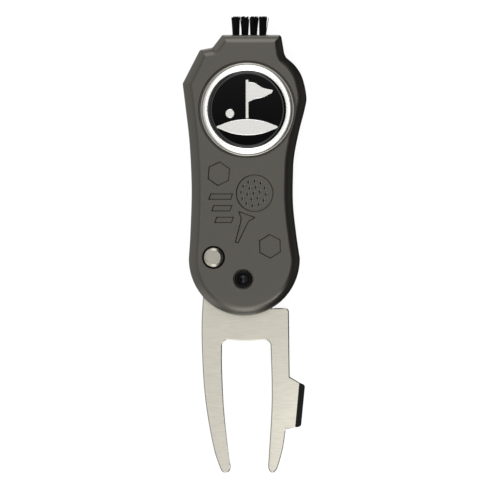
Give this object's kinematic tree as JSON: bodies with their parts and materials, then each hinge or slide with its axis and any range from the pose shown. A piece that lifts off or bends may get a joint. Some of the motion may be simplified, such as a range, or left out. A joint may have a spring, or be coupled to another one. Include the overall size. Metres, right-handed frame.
{
  "type": "divot repair tool",
  "caption": "Folding golf-green fork in a waisted handle, with a push-button lock, round magnetic marker, short brush and ground groove-cleaning tab.",
  "frame": {"origin": "where the fork's pivot axis meets the flat back of the handle", "axes": "+Z out of the front face, +Y from the fork to the brush, +X to the right seen from the front"},
  "size_m": [0.0331, 0.1224, 0.0115],
  "materials": {
    "soft_touch_paint": "matte",
    "brushed_steel": "satin",
    "black_oxide": "satin",
    "plain_steel": "satin",
    "spring_steel": "satin",
    "satin_nickel": "satin",
    "polished_nickel": "polished",
    "black_enamel": "gloss",
    "nylon": "satin",
    "black_nylon": "satin",
    "brass": "satin"
  },
  "bodies": {
    "handle": {"front_shell": "soft_touch_paint", "rear_shell": "soft_touch_paint", "pivot_screw": "black_oxide", "shell_screw_1": "black_oxide", "shell_screw_2": "black_oxide", "pivot_sleeve": "plain_steel", "magnet_keeper": "plain_steel", "locating_dowel_1": "plain_steel", "locating_dowel_2": "plain_steel", "torsion_spring": "spring_steel", "button_spring": "spring_steel", "marker_magnet": "satin_nickel", "front_washer": "nylon", "rear_washer": "nylon", "brush_base": "black_nylon", "brush_tuft_1": "black_nylon", "brush_tuft_2": "black_nylon", "brush_tuft_3": "black_nylon", "brush_tuft_4": "black_nylon", "brush_tuft_5": "black_nylon", "brush_tuft_6": "black_nylon", "brush_tuft_7": "black_nylon", "brush_tuft_8": "black_nylon", "threaded_insert_1": "brass", "threaded_insert_2": "brass"},
    "blade": {"fork_blade": "brushed_steel"},
    "button": {"release_button": "satin_nickel", "lock_plunger": "plain_steel"},
    "marker": {"marker_coin": "polished_nickel", "marker_enamel": "black_enamel", "marker_emblem": "polished_nickel"}
  },
  "joints": [
    {"name": "blade_fold", "type": "hinge", "parent": "handle", "child": "blade", "pos_m": [0, 0, 0.00525], "axis": [0, 0, 1], "range_deg": [0, 180], "stiffness_Nm_per_rad": 0.008, "springref_deg": -28.65},
    {"name": "button_press", "type": "slide", "parent": "handle", "child": "button", "axis": [0, 0, -1], "range_m": [0, 0.0018], "stiffness_N_per_m": 600, "springref_m": -0.001, "deforming": ["button_spring"]},
    {"name": "marker_lift", "type": "slide", "parent": "handle", "child": "marker", "axis": [0, 0, 1], "range_m": [0, 0.012]}
  ]
}
